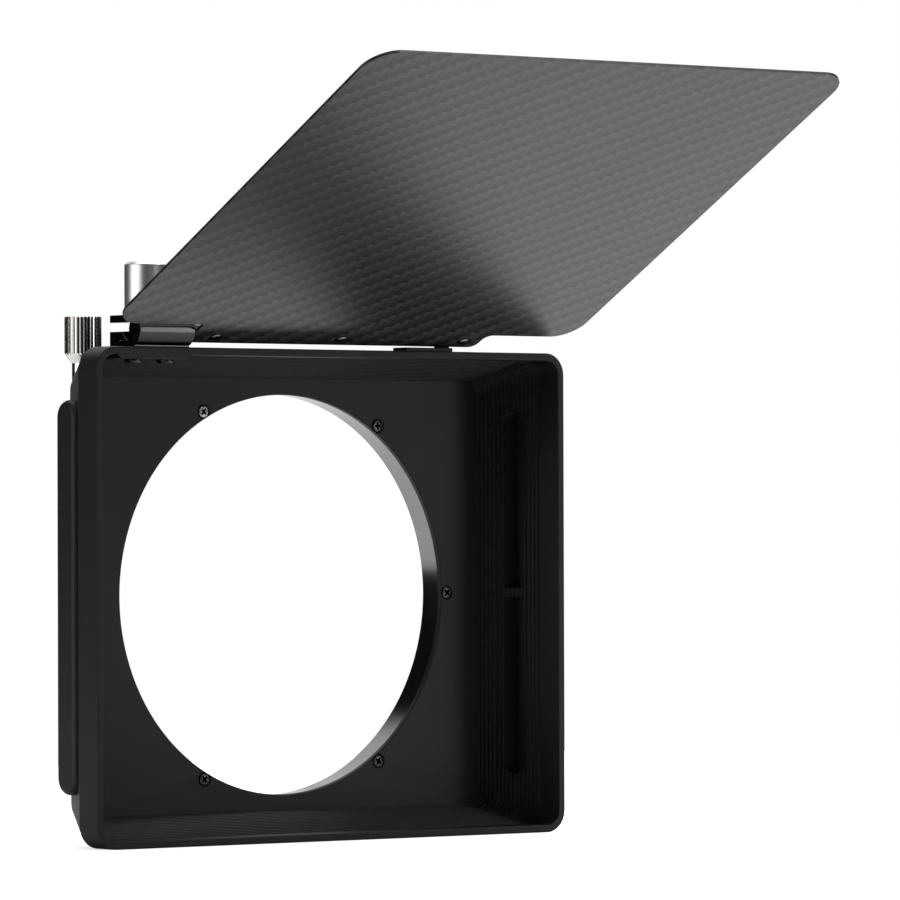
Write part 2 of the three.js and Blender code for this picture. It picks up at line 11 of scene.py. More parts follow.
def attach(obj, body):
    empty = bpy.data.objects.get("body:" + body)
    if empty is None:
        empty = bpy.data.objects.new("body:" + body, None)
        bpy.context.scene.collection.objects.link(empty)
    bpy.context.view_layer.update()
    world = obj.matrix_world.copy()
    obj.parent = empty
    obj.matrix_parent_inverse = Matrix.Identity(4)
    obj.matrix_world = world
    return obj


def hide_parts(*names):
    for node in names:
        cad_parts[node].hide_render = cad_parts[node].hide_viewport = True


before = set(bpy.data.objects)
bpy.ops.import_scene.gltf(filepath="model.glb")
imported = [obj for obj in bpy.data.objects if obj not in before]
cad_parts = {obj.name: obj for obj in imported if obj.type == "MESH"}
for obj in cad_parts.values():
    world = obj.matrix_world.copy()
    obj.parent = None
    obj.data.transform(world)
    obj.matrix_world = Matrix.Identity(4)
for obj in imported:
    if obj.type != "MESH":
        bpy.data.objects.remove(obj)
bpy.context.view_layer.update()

bl_info = {
    "name": "Matte box",
    "version": (1, 0, 0),
    "blender": (4, 5, 0),
    "location": "View3D > Sidebar > Matte Box",
    "description": "Builds a matte box with its hood, clamp ring, top flag and screws",
    "category": "Add Mesh",
}

MM = 0.001


# Sizes and colours that a user would change.


class HoodSettings(bpy.types.PropertyGroup):
    mouth_width: FloatProperty(
        name="Mouth width", description="Outer width of the rim", default=207 * MM, unit="LENGTH"
    )
    mouth_height: FloatProperty(
        name="Mouth height", description="Outer height of the rim", default=174 * MM, unit="LENGTH"
    )
    wall: FloatProperty(
        name="Wall", description="Wall thickness at the rim", default=2.7 * MM, unit="LENGTH"
    )
    depth: FloatProperty(
        name="Depth", description="Rim to the rear of the back plate",
        default=33.9 * MM, unit="LENGTH",
    )
    band: FloatProperty(
        name="Band", description="Length of the straight band at the mouth",
        default=11 * MM, unit="LENGTH",
    )
    corner: FloatProperty(
        name="Corner", description="Outer corner radius of the rim", default=8 * MM, unit="LENGTH"
    )
    steps: IntProperty(
        name="Steps", description="Light-trap steps inside the hood", default=15, min=1
    )
    bore: FloatProperty(
        name="Lens bore", description="Diameter of the opening for the lens",
        default=143 * MM, unit="LENGTH",
    )


class FlagSettings(bpy.types.PropertyGroup):
    angle: FloatProperty(
        name="Raise", description="Angle of the flag above the lens axis",
        default=math.radians(29.28), subtype="ANGLE",
    )
    left: FloatProperty(
        name="Left", description="Lens axis to the left side", default=101.5 * MM, unit="LENGTH"
    )
    right: FloatProperty(
        name="Right", description="Lens axis to the right side", default=104.2 * MM, unit="LENGTH"
    )
    reach: FloatProperty(
        name="Reach", description="Hinge to the flag's front edge",
        default=183.35 * MM, unit="LENGTH",
    )
    thickness: FloatProperty(
        name="Thickness", description="Thickness of the carbon sheet",
        default=1.05 * MM, unit="LENGTH",
    )
    weave: FloatProperty(
        name="Tow width", description="Width of one carbon tow", default=2.72 * MM, unit="LENGTH"
    )


class FinishSettings(bpy.types.PropertyGroup):
    coating: FloatVectorProperty(
        name="Hood coating", description="Matte black of the hood", subtype="COLOR",
        default=(0.0075, 0.0075, 0.0078), min=0, max=1,
    )
    anodised: FloatVectorProperty(
        name="Black anodised", description="Satin black of left bracket, rod and block",
        subtype="COLOR", default=(0.056, 0.054, 0.052), min=0, max=1,
    )
    silver: FloatVectorProperty(
        name="Silver", description="Satin silver of knob and thumbscrew", subtype="COLOR",
        default=(0.78, 0.765, 0.74), min=0, max=1,
    )
    carbon: FloatVectorProperty(
        name="Carbon", description="Dark grey of the carbon sheet", subtype="COLOR",
        default=(0.030, 0.030, 0.029), min=0, max=1,
    )


class StageSettings(bpy.types.PropertyGroup):
    azimuth: FloatProperty(
        name="Azimuth", description="Camera azimuth, zero from straight in front",
        default=math.radians(-37.9314), subtype="ANGLE",
    )
    pitch: FloatProperty(
        name="Pitch", description="Camera elevation",
        default=math.radians(-0.5942), subtype="ANGLE",
    )
    roll: FloatProperty(
        name="Roll", description="Camera roll", default=math.radians(-0.1754), subtype="ANGLE"
    )
    distance: FloatProperty(
        name="Distance", description="Camera to its target", default=2308.2 * MM, unit="LENGTH"
    )
    lens: FloatProperty(
        name="Focal length", description="Focal length in millimetres",
        default=260.55, unit="CAMERA",
    )


# Frame of the part, shared with its solids: Y runs to the rear along the lens axis, Z up.

RIGHTWARD, FORWARD, REARWARD = (1, 0, 0), (0, -1, 0), (0, 1, 0)
UP, DOWN = (0, 0, 1), (0, 0, -1)
RIM_FRONT = -43.9 * MM
PLATE_FRONT = -12 * MM
RIM_TOP = 87 * MM
HOOK_INNER, HOOK_OUTER = 4.5, 6.2
HINGE = Vector((0, RIM_FRONT + 4 * MM, RIM_TOP + HOOK_OUTER * MM))
THUMB = Vector((-82.1 * MM, RIM_FRONT + 39.4 * MM, 0))
CLAMP = Vector((-53.9 * MM, RIM_FRONT + 41 * MM, 0))

# Knurled head of the thumbscrew: its radii and heights in mm.
KNURL_BOTTOM, KNURL_RIDGE = 5.9, 6.75
HEAD_LOW, HEAD_HIGH = 84.8, 98.3

# Angle in degrees between faces from which an edge counts as a fold.
FOLD = 35


# Mesh helpers.


def settings(name):
    """One of the groups of sizes and colours, by its key in SETTINGS."""
    return getattr(bpy.context.scene, "matte_box_" + name)


def edge_angle_over(edge, limit):
    """Whether an edge is folded by more than a limit in degrees."""
    return len(edge.link_faces) == 2 and edge.calc_face_angle(0) > math.radians(limit)


def bevel_edges(bm, edges, width, segments=2):
    """Round edges, with the width in metres."""
    bmesh.ops.bevel(
        bm, geom=edges, offset=width, offset_type="OFFSET", segments=segments,
        profile=0.5, affect="EDGES", clamp_overlap=True, material=-1,
    )


def into_scene(name, data):
    """Link a new object with its mesh, camera or lamp."""
    thing = bpy.data.objects.new(name, data)
    bpy.context.scene.collection.objects.link(thing)
    return thing


def to_object(bm, name):
    """Make an object at the origin, with its faces outward, and free the bmesh."""
    bmesh.ops.recalc_face_normals(bm, faces=bm.faces[:])
    mesh = bpy.data.meshes.new(name)
    bm.to_mesh(mesh)
    bm.free()
    return into_scene(name, mesh)


def carve(target, tool, operation="DIFFERENCE"):
    """Cut, join or keep the overlap of two solids, and throw the tool away."""
    step = target.modifiers.new(operation.lower(), "BOOLEAN")
    step.solver = "EXACT"
    step.operation = operation
    step.object = tool
    graph = bpy.context.evaluated_depsgraph_get()
    result = bpy.data.meshes.new_from_object(target.evaluated_get(graph))
    target.modifiers.clear()
    target.data = result
    bpy.data.objects.remove(tool)
    if not result.polygons:
        raise RuntimeError(f"{target.name} came out empty")


def soften(thing, angle):
    """Smooth shading across small angles, with the broad faces kept flat."""
    mesh = thing.data
    mesh.polygons.foreach_set("use_smooth", [True] * len(mesh.polygons))
    bm = bmesh.new()
    bm.from_mesh(mesh)
    for edge in bm.edges:
        edge.smooth = not edge_angle_over(edge, angle)
    bm.to_mesh(mesh)
    bm.free()
    normals = thing.modifiers.new("face weights", "WEIGHTED_NORMAL")
    normals.keep_sharp = True
    normals.weight = 80


def dress(thing, material, slot, body, nodes, angle=FOLD):
    """Give a piece its finish and tie it to its body and its nodes of the part."""
    thing.data.materials.clear()
    thing.data.materials.append(bpy.data.materials[material])
    soften(thing, angle)
    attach(thing, body)
    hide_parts(*nodes)


def station_face(bm, station, segments):
    """A rounded rectangle across the lens axis, from its half sizes, corner radius and Y."""
    half_width, half_height, radius, y = station
    corners = bmesh.ops.create_grid(bm, x_segments=1, y_segments=1, size=1)["verts"]
    bmesh.ops.scale(bm, vec=(half_width, half_height, 1), verts=corners)
    bmesh.ops.rotate(bm, verts=corners, matrix=Matrix.Rotation(math.pi / 2, 3, "X"))
    bmesh.ops.translate(bm, verts=corners, vec=(0, y, 0))
    bmesh.ops.bevel(
        bm, geom=corners, offset=radius, offset_type="OFFSET", segments=segments,
        profile=0.5, affect="VERTICES", clamp_overlap=True, material=-1,
    )


def to_station(co, old, new):
    """Move a point of one rounded rectangle to its place on the next."""
    centre_x, centre_z = old[0] - old[2], old[1] - old[2]
    along_x = (abs(co.x) - centre_x) / old[2]
    along_z = (abs(co.z) - centre_z) / old[2]
    x = new[0] - new[2] + along_x * new[2]
    z = new[1] - new[2] + along_z * new[2]
    return Vector((math.copysign(x, co.x), new[3], math.copysign(z, co.z)))


def loft(bm, stations, segments):
    """A closed body through rounded rectangles, capped at both ends."""
    station_face(bm, stations[0], segments)
    loop = bm.edges[:]
    for old, new in zip(stations, stations[1:]):
        made = bmesh.ops.extrude_edge_only(bm, edges=loop)["geom"]
        verts = {g for g in made if isinstance(g, bmesh.types.BMVert)}
        loop = [g for g in made if isinstance(g, bmesh.types.BMEdge) and verts.issuperset(g.verts)]
        for vert in verts:
            vert.co = to_station(vert.co, old, new)
    bmesh.ops.contextual_create(bm, geom=loop)
    bmesh.ops.recalc_face_normals(bm, faces=bm.faces[:])


def turned(name, profile, segments, matrix=None):
    """A body turned round Z from radii and heights in mm, from axis to axis or closed."""
    bm = bmesh.new()
    verts = [bm.verts.new((radius * MM, 0, height * MM)) for radius, height in profile]
    edges = [bm.edges.new(pair) for pair in zip(verts, verts[1:])]
    if profile[0][0] > 0 and profile[0] != profile[-1]:
        edges.append(bm.edges.new((verts[-1], verts[0])))
    bmesh.ops.spin(
        bm, geom=verts + edges, cent=(0, 0, 0), axis=(0, 0, 1),
        angle=2 * math.pi, steps=segments, use_merge=True,
    )
    bmesh.ops.remove_doubles(bm, verts=bm.verts[:], dist=1e-7)
    bmesh.ops.recalc_face_normals(bm, faces=bm.faces[:])
    if matrix is not None:
        bmesh.ops.transform(bm, matrix=matrix, verts=bm.verts[:])
    return to_object(bm, name)


def block(name, low, high, bevel=0.0):
    """A box between two corners in mm."""
    bm = bmesh.new()
    bmesh.ops.create_cube(bm, size=1)
    low, high = Vector(low) * MM, Vector(high) * MM
    bmesh.ops.scale(bm, vec=high - low, verts=bm.verts[:])
    bmesh.ops.translate(bm, vec=(low + high) / 2, verts=bm.verts[:])
    if bevel:
        bevel_edges(bm, bm.edges[:], bevel * MM)
    return to_object(bm, name)


def prism(name, points, along, start, end, bevel=0.0, limit=FOLD, segments=2):
    """An outline extruded along X, Y or Z, with its folded edges rounded. Lengths in mm."""
    def place(a, b, c):
        co = [a * MM, b * MM]
        co.insert("XYZ".index(along), c * MM)
        return co

    bm = bmesh.new()
    verts = [bm.verts.new(place(a, b, start)) for a, b in points]
    face = bm.faces.new(verts)
    made = bmesh.ops.extrude_face_region(bm, geom=[face])["geom"]
    shift = Vector(place(0, 0, end - start))
    moved = [g for g in made if isinstance(g, bmesh.types.BMVert)]
    bmesh.ops.translate(bm, vec=shift, verts=moved)
    bmesh.ops.recalc_face_normals(bm, faces=bm.faces[:])
    if bevel:
        folded = [e for e in bm.edges if edge_angle_over(e, limit)]
        bevel_edges(bm, folded, bevel * MM, segments)
    return to_object(bm, name)


def arc(centre, radius, start, end, count):
    """Points of an arc between two angles in degrees."""
    angles = [math.radians(start + (end - start) * i / count) for i in range(count + 1)]
    return [(centre[0] + radius * math.cos(a), centre[1] + radius * math.sin(a)) for a in angles]


def rounded_outline(corners, count=10):
    """Outline through corners of x, y and fillet radius, in order."""
    points = []
    for i, (x, y, radius) in enumerate(corners):
        here = Vector((x, y))
        if not radius:
            points.append((x, y))
            continue
        back = (Vector(corners[i - 1][:2]) - here).normalized()
        ahead = (Vector(corners[(i + 1) % len(corners)][:2]) - here).normalized()
        half = back.angle(ahead) / 2
        centre = here + (back + ahead).normalized() * (radius / math.sin(half))
        spoke = here + back * (radius / math.tan(half)) - centre
        turn = 1 if back.x * ahead.y - back.y * ahead.x < 0 else -1
        sweep = turn * (math.pi - 2 * half)
        for k in range(count + 1):
            angle = sweep * k / count
            points.append((
                centre.x + spoke.x * math.cos(angle) - spoke.y * math.sin(angle),
                centre.y + spoke.x * math.sin(angle) + spoke.y * math.cos(angle),
            ))
    return points


def facing(direction, place=(0, 0, 0)):
    """Matrix that turns +Z to a direction and moves the origin to a place."""
    turn = Vector(UP).rotation_difference(Vector(direction)).to_matrix().to_4x4()
    return Matrix.Translation(Vector(place)) @ turn


def cut_hole(target, radius, low, high, matrix, segments):
    """Cut a plain round hole. Lengths in mm."""
    hole = [(0, low), (radius, low), (radius, high), (0, high)]
    carve(target, turned("hole", hole, segments, matrix))


def cut_sinks(target, places, direction, head, depth, thread, length):
    """Cut countersunk holes with a little room for their screws. Lengths in mm."""
    wide, narrow = head / 2 + 0.3, thread / 2 + 0.05
    profile = [
        (0, -1.5), (wide, -1.5), (wide, 0.1), (narrow, depth + 0.05), (narrow, length), (0, length),
    ]
    for place in places:
        carve(target, turned("sink", profile, 40, facing(direction, place)))


# Materials.

# Radii and heights in mm between which painted shade darkens the knurl's grooves toward their
# bottom.
KNURL_SHADE = (KNURL_BOTTOM, KNURL_RIDGE - 0.15, HEAD_LOW + 0.5, HEAD_HIGH - 0.2)
# Colour of the painted shade in the knurl's grooves.
GROOVE_SHADE_COLOUR = (0.07, 0.07, 0.07, 1)


def node_group(name, label, default, outputs):
    """An empty node group that takes a place and a number, and the nodes at its ends."""
    group = bpy.data.node_groups.new(name, "ShaderNodeTree")
    sockets = group.interface
    sockets.new_socket("Vector", in_out="INPUT", socket_type="NodeSocketVector")
    number = sockets.new_socket(label, in_out="INPUT", socket_type="NodeSocketFloat")
    number.default_value = default
    for output in outputs:
        sockets.new_socket(output, in_out="OUTPUT", socket_type="NodeSocketFloat")
    return group, group.nodes.new("NodeGroupInput"), group.nodes.new("NodeGroupOutput")


def feed(tree, socket, value):
    """Give a socket a constant, or link another socket to it."""
    if isinstance(value, bpy.types.NodeSocket):
        tree.links.new(value, socket)
    else:
        socket.default_value = value


def math_node(tree, operation, *values):
    """Output of a math node on numbers or sockets."""
    node = tree.nodes.new("ShaderNodeMath")
    node.operation = operation
    for slot, value in enumerate(values):
        feed(tree, node.inputs[slot], value)
    return node.outputs[0]


def mix_number(tree, factor, low, high):
    """low + factor * (high - low), with numbers or sockets."""
    node = tree.nodes.new("ShaderNodeMapRange")
    node.clamp = True
    for label, value in (("Value", factor), ("To Min", low), ("To Max", high)):
        feed(tree, node.inputs[label], value)
    return node.outputs["Result"]


def mix_colour(tree, factor, low, high):
    """Mix of two colours of four numbers, or of sockets."""
    node = tree.nodes.new("ShaderNodeMix")
    node.data_type = "RGBA"
    for slot, value in ((0, factor), (6, low), (7, high)):
        feed(tree, node.inputs[slot], value)
    return node.outputs[2]


def split_place(tree, where):
    """X, Y and Z of a place."""
    split = tree.nodes.new("ShaderNodeSeparateXYZ")
    tree.links.new(where, split.inputs[0])
    return split.outputs["X"], split.outputs["Y"], split.outputs["Z"]


def distance_from_axis(tree, x, y):
    """Distance of a place from the Z axis."""
    squares = [math_node(tree, "POWER", value, 2) for value in (x, y)]
    return math_node(tree, "SQRT", math_node(tree, "ADD", *squares))


def noise_node(tree, vector, scale, detail=2):
    """Output of a noise node, its scale a number or a socket."""
    node = tree.nodes.new("ShaderNodeTexNoise")
    node.inputs["Detail"].default_value = detail
    feed(tree, node.inputs["Scale"], scale)
    tree.links.new(vector, node.inputs["Vector"])
    return node.outputs["Fac"]


def coating_grain():
    """Fine pebbled grain of a baked coating, with faint broad clouding."""
    group, given, result = node_group("Coating grain", "Grain", 5200, ("Height", "Cloud"))
    fine = noise_node(group, given.outputs["Vector"], given.outputs["Grain"], 3)
    broad = noise_node(group, given.outputs["Vector"], 22, 3)
    group.links.new(fine, result.inputs["Height"])
    group.links.new(broad, result.inputs["Cloud"])


def edge_wear():
    """Mask of the outer edges, broken up by noise."""
    group, given, result = node_group("Edge wear", "Pointiness", 0.5, ("Mask",))
    edges = group.nodes.new("ShaderNodeMapRange")
    edges.inputs["From Min"].default_value = 0.52
    edges.inputs["From Max"].default_value = 0.60
    group.links.new(given.outputs["Pointiness"], edges.inputs["Value"])
    rough = noise_node(group, given.outputs["Vector"], 900, 3)
    mask = math_node(group, "MULTIPLY", edges.outputs["Result"], rough)
    group.links.new(mask, result.inputs["Mask"])


def turning_marks():
    """Fine rings left by a lathe, told by the distance from the axis and along it."""
    group, given, result = node_group("Turning marks", "Pitch", 3000, ("Height",))
    x, y, z = split_place(group, given.outputs["Vector"])
    both = math_node(group, "ADD", distance_from_axis(group, x, y), z)
    place = group.nodes.new("ShaderNodeCombineXYZ")
    group.links.new(math_node(group, "MULTIPLY", both, given.outputs["Pitch"]), place.inputs["X"])
    group.links.new(noise_node(group, place.outputs[0], 1), result.inputs["Height"])


def twill_weave():
    """Two-over-two twill: which tow lies on top, the rounded floats, the fibres and a painted
    sheen.

    The tows along Y are the warp. A float is a tow's stretch over two others.
    """
    outputs = ("Tone", "Height", "Fibre")
    group, given, result = node_group("Twill weave", "Tow", 2.72 * MM, outputs)
    x, y, _ = split_place(group, given.outputs["Vector"])
    across = math_node(group, "DIVIDE", x, given.outputs["Tow"])
    along = math_node(group, "DIVIDE", y, given.outputs["Tow"])
    cell_x = math_node(group, "FLOOR", across)
    cell_y = math_node(group, "FLOOR", along)
    diagonal = math_node(group, "FLOORED_MODULO", math_node(group, "ADD", cell_x, cell_y), 4)
    warp = math_node(group, "LESS_THAN", diagonal, 1.5)
    second = math_node(group, "FLOORED_MODULO", diagonal, 2)
    in_x = math_node(group, "FRACT", across)
    in_y = math_node(group, "FRACT", along)
    side = mix_number(group, warp, in_y, in_x)
    down = math_node(group, "ADD", mix_number(group, warp, in_x, in_y), second)
    crown = math_node(group, "SINE", math_node(group, "MULTIPLY", side, math.pi))
    length = math_node(group, "SINE", math_node(group, "MULTIPLY", down, math.pi / 2))
    ends = math_node(group, "POWER", length, 0.5)
    height = math_node(group, "MULTIPLY", crown, ends)
    # Painted sheen: weft floats lighter than warp floats, each lighter toward its forward end and
    # under its arch.
    fall = math_node(group, "MULTIPLY", math_node(group, "ADD", in_y, second), 0.5)
    weft_sheen = mix_number(group, fall, 1.9, 0.95)
    warp_sheen = mix_number(group, fall, 0.9, 0.3)
    ridge = mix_number(group, warp, weft_sheen, warp_sheen)
    arch = math_node(group, "SINE", math_node(group, "MULTIPLY", in_x, math.pi))
    arch_sheen = mix_number(group, math_node(group, "MAXIMUM", arch, fall), 0.7, 1.05)
    painted_sheen = math_node(group, "MULTIPLY", ridge, arch_sheen)
    fine, coarse = [
        [math_node(group, "MULTIPLY", coordinate, scale) for coordinate in (across, along)]
        for scale in (14, 0.7)
    ]
    strands = group.nodes.new("ShaderNodeCombineXYZ")
    group.links.new(mix_number(group, warp, fine[1], fine[0]), strands.inputs["X"])
    group.links.new(mix_number(group, warp, coarse[0], coarse[1]), strands.inputs["Y"])
    group.links.new(math_node(group, "MULTIPLY", warp, 7), strands.inputs["Z"])
    fibre = noise_node(group, strands.outputs[0], 1)
    for label, value in zip(outputs, (painted_sheen, height, fibre)):
        group.links.new(value, result.inputs[label])


def new_material(name, colour, roughness, metallic=0.0):
    """Tree and shader of a new material."""
    material = bpy.data.materials.new(name)
    material.use_nodes = True
    tree = material.node_tree
    shader = tree.nodes["Principled BSDF"]
    shader.inputs["Base Color"].default_value = (*colour, 1)
    shader.inputs["Roughness"].default_value = roughness
    shader.inputs["Metallic"].default_value = metallic
    return tree, shader


def object_place(tree):
    """Place in the piece's own space."""
    return tree.nodes.new("ShaderNodeTexCoord").outputs["Object"]


def place_group(tree, name, values):
    """Put a shared node group into a tree, and return its outputs."""
    node = tree.nodes.new("ShaderNodeGroup")
    node.node_tree = bpy.data.node_groups[name]
    for label, value in values.items():
        feed(tree, node.inputs[label], value)
    return node.outputs


def tinted(colour, factor, offset=0.0):
    """A colour of four numbers, made darker or lighter."""
    return (*(c * factor + offset for c in colour), 1)


def surface(tree, shader, colour, roughness, height, strength, depth):
    """Give the shader its colour, its roughness and a relief with a depth in mm."""
    bump = tree.nodes.new("ShaderNodeBump")
    bump.inputs["Strength"].default_value = strength
    bump.inputs["Distance"].default_value = depth * MM
    tree.links.new(height, bump.inputs["Height"])
    tree.links.new(bump.outputs[0], shader.inputs["Normal"])
    tree.links.new(colour, shader.inputs["Base Color"])
    tree.links.new(roughness, shader.inputs["Roughness"])


def coated(name, colour, roughness, grain, depth, wear, metallic, specular):
    """A coated or anodised finish: clouded, grained and a little rubbed on its edges."""
    tree, shader = new_material(name, colour, roughness, metallic)
    where = object_place(tree)
    shader.inputs["Specular IOR Level"].default_value = specular
    texture = place_group(tree, "Coating grain", {"Vector": where, "Grain": grain})
    edge = tree.nodes.new("ShaderNodeNewGeometry").outputs["Pointiness"]
    worn = place_group(tree, "Edge wear", {"Vector": where, "Pointiness": edge})
    clouded = mix_colour(tree, texture["Cloud"], tinted(colour, 0.86), tinted(colour, 1.14))
    mask = math_node(tree, "MULTIPLY", worn["Mask"], wear)
    shade = mix_colour(tree, mask, clouded, tinted(colour, 0.5, 0.05))
    spread = mix_number(tree, texture["Cloud"], roughness - 0.05, roughness + 0.05)
    surface(tree, shader, shade, spread, texture["Height"], 0.35, depth)


def groove_shade_mask(tree, where, bottom, ridge, low, high):
    """How deep a place lies in the grooves of a knurl, between two heights; this sets the painted
    shade there.
    """
    x, y, z = split_place(tree, where)
    deep = math_node(tree, "SUBTRACT", ridge, distance_from_axis(tree, x, y))
    deep = math_node(tree, "DIVIDE", deep, ridge - bottom)
    above = math_node(tree, "GREATER_THAN", z, low)
    below = math_node(tree, "LESS_THAN", z, high)
    within = math_node(tree, "MULTIPLY", above, below)
    mask = math_node(tree, "MULTIPLY", math_node(tree, "MINIMUM", deep, 1), within)
    return math_node(tree, "MAXIMUM", mask, 0)


def metal(name, colour, roughness, pitch, axis_place, blast=0.0, groove=None):
    """Turned metal; blast adds a sand-blasted grain, groove gives the painted groove shade its
    sizes.
    """
    tree, shader = new_material(name, colour, roughness, 1.0)
    where = object_place(tree)
    mapping = tree.nodes.new("ShaderNodeMapping")
    mapping.inputs["Location"].default_value = [-c for c in axis_place]
    tree.links.new(where, mapping.inputs["Vector"])
    marks = {"Vector": mapping.outputs[0], "Pitch": pitch}
    height = place_group(tree, "Turning marks", marks)["Height"]
    spread = mix_number(tree, height, roughness - 0.08, roughness + 0.08)
    shade = mix_colour(tree, height, tinted(colour, 0.93), tinted(colour, 1))
    if groove:
        # Painted shade: the knurl's grooves get darker toward their bottom.
        mask = groove_shade_mask(tree, mapping.outputs[0], *(size * MM for size in groove))
        shade = mix_colour(tree, mask, shade, GROOVE_SHADE_COLOUR)
    if blast:
        grains = place_group(tree, "Coating grain", {"Vector": where, "Grain": 2600})
        height = math_node(tree, "MULTIPLY_ADD", grains["Height"], blast, height)
    surface(tree, shader, shade, spread, height, 0.12, 0.02)


def carbon_sheet(colour, tow, angle):
    """Woven carbon, laid in the flag's own frame at rest."""
    tree, shader = new_material("carbon weave", colour, 0.3)
    mapping = tree.nodes.new("ShaderNodeMapping")
    mapping.vector_type = "TEXTURE"
    mapping.inputs["Location"].default_value = HINGE
    mapping.inputs["Rotation"].default_value = (-angle, 0, 0)
    tree.links.new(object_place(tree), mapping.inputs["Vector"])
    weave = place_group(tree, "Twill weave", {"Vector": mapping.outputs[0], "Tow": tow})
    fibre = mix_number(tree, weave["Fibre"], 0.6, 1.4)
    shade = tree.nodes.new("ShaderNodeVectorMath")
    shade.operation = "SCALE"
    shade.inputs[0].default_value = colour
    # The carbon's colour is scaled by the weave's painted sheen and its fibre noise.
    painted_sheen = math_node(tree, "MULTIPLY", weave["Tone"], fibre)
    tree.links.new(painted_sheen, shade.inputs["Scale"])
    spread = mix_number(tree, weave["Tone"], 0.34, 0.28)
    surface(tree, shader, shade.outputs[0], spread, weave["Height"], 1.0, 0.012)


class MATTEBOX_OT_finishes(bpy.types.Operator):
    """Make the finishes of the matte box"""

    bl_idname = "mattebox.finishes"
    bl_label = "Finishes"

    def execute(self, context):
        finish, flag = settings("finish"), settings("flag")
        for make_group in (coating_grain, edge_wear, turning_marks, twill_weave):
            make_group()
        # Name, colour, roughness, the grain's scale and depth in mm, wear, metallic, specular.
        coats = (
            ("hood coating", tuple(finish.coating), 0.5, 5200, 0.02, 0.1, 0.0, 0.32),
            ("black anodised", tuple(finish.anodised), 0.19, 7000, 0.003, 0.15, 1.0, 0.5),
            ("glossy ring black", (0.25, 0.25, 0.25), 0.14, 7000, 0.003, 0.1, 1.0, 0.5),
            ("blackened steel", (0.06, 0.06, 0.06), 0.26, 6000, 0.006, 0.6, 1.0, 0.5),
            ("dark steel", (0.2, 0.2, 0.2), 0.24, 6000, 0.006, 0.6, 1.0, 0.5),
            ("plain steel", (0.33, 0.33, 0.34), 0.35, 6000, 0.01, 0.3, 1.0, 0.5),
        )
        for coat in coats:
            coated(*coat)
        metal("thumbscrew silver", tuple(finish.silver), 0.2, 2600, THUMB, groove=KNURL_SHADE)
        metal("knob silver", tuple(finish.silver), 0.4, 2600, CLAMP, blast=4)
        carbon_sheet(tuple(finish.carbon), flag.weave, flag.angle)
        return {"FINISHED"}


# Sizes and places of the screws. A size is head diameter, head depth, thread and length, in mm.

RING_SCREW = (4.1, 1.3, 2.5, 8)
RING_SINK = (4.9, 1.4, 2.5, 8.1)
HOOD_SINK = (4.9, 1.4, 2.5, 4)
RING_PLACES = [
    Vector((74.1 * MM * math.cos(a), PLATE_FRONT, 74.1 * MM * math.sin(a)))
    for a in map(math.radians, (0, 55, 118.25, -118.25, -55))
]
CLAMP_SCREW = (4.4, 1.3, 2.5, 9)
CLAMP_SINK = (4.4, 1.3, 2.5, 9.1)
CLAMP_PLACES = [CLAMP + Vector((side * 6 * MM, 3 * MM - CLAMP.y, 62 * MM)) for side in (-1, 1)]
LEFT_SCREW = (5.8, 1.3, 3, 6.6)
LEFT_HOLE = 1.55
LEFT_PLACES = [Vector((x, RIM_FRONT + 8 * MM, RIM_TOP - 4.2 * MM)) for x in (-82.6 * MM, -69 * MM)]
RIGHT_SCREW = (3, 0.75, 1.6, 3.4)
RIGHT_SINK = (3, 0.75, 1.6, 3.5)
RIGHT_PLACES = [Vector((x, RIM_FRONT + 5 * MM, RIM_TOP + 1.3 * MM)) for x in (35.5 * MM, 45.3 * MM)]
FLAG_SCREW = (4.2, 1.1, 2, 3.6)
PLATE_SINK = (5.4, 1.1, 2, 3.7)
ROD_SINK = (4.2, 1.1, 2, 3.7)
FLAG_SCREW_XS = (-52.3, 2.7, 57.7)

# How far each screw of a group happens to be turned, in degrees, and the one left pale.
RECESS_ANGLES = (45, 85, 42, 50, 30)
PALE_SCREW = "ring_screw_3"


# Hood.

REAR_HALF = (91.2 * MM, 80 * MM)
THROAT_HALF = (89 * MM, 77.3 * MM)
CORNER_SEGMENTS = 10
HOOD_FOLD = 28

# Middle behind the front of the rim, width along the lens axis and height, in mm.
CASING = (20.3, 12, 137.4)
POCKET = (19.7, 7, 132.4)


def outside_stations(hood):
    """Rounded rectangles from the plate's rear to the front of the rim."""
    half_w, half_h, corner = hood.mouth_width / 2, hood.mouth_height / 2, hood.corner
    band = RIM_FRONT + hood.band
    step_in, groove = 0.35 * MM, 0.5 * MM
    return [
        (*REAR_HALF, corner, RIM_FRONT + hood.depth),
        (half_w - step_in, half_h - step_in, corner, band + groove),
        (half_w - step_in, half_h - step_in, corner, band),
        (half_w, half_h, corner, band),
        (half_w, half_h, corner, RIM_FRONT),
    ]


def inside_stations(hood):
    """Rounded rectangles from the front of the rim down the inner steps to the plate."""
    inner_w, inner_h = hood.mouth_width / 2 - hood.wall, hood.mouth_height / 2 - hood.wall
    radius = hood.corner - hood.wall
    smooth = 11.2 * MM
    length = (PLATE_FRONT - RIM_FRONT - smooth) / hood.steps
    throat_w, throat_h = THROAT_HALF
    stations = [(inner_w, inner_h, radius, RIM_FRONT)]
    for i in range(hood.steps):
        y = RIM_FRONT + smooth + i * length
        for share in (i / hood.steps, (i + 1) / hood.steps):
            width = inner_w + share * (throat_w - inner_w)
            height = inner_h + share * (throat_h - inner_h)
            stations.append((width, height, radius, y))
    return [*stations, (throat_w, throat_h, radius, PLATE_FRONT)]


def obround_points(middle, width, height, low=None, count=14):
    """A slot with round ends, or from a low edge up its round upper end alone."""
    radius = width / 2
    reach = height / 2 - radius
    top = arc((middle, reach), radius, 0, 180, count)
    if low is None:
        return top + arc((middle, -reach), radius, 180, 360, count)
    return top + [(middle - radius, low), (middle + radius, low)]


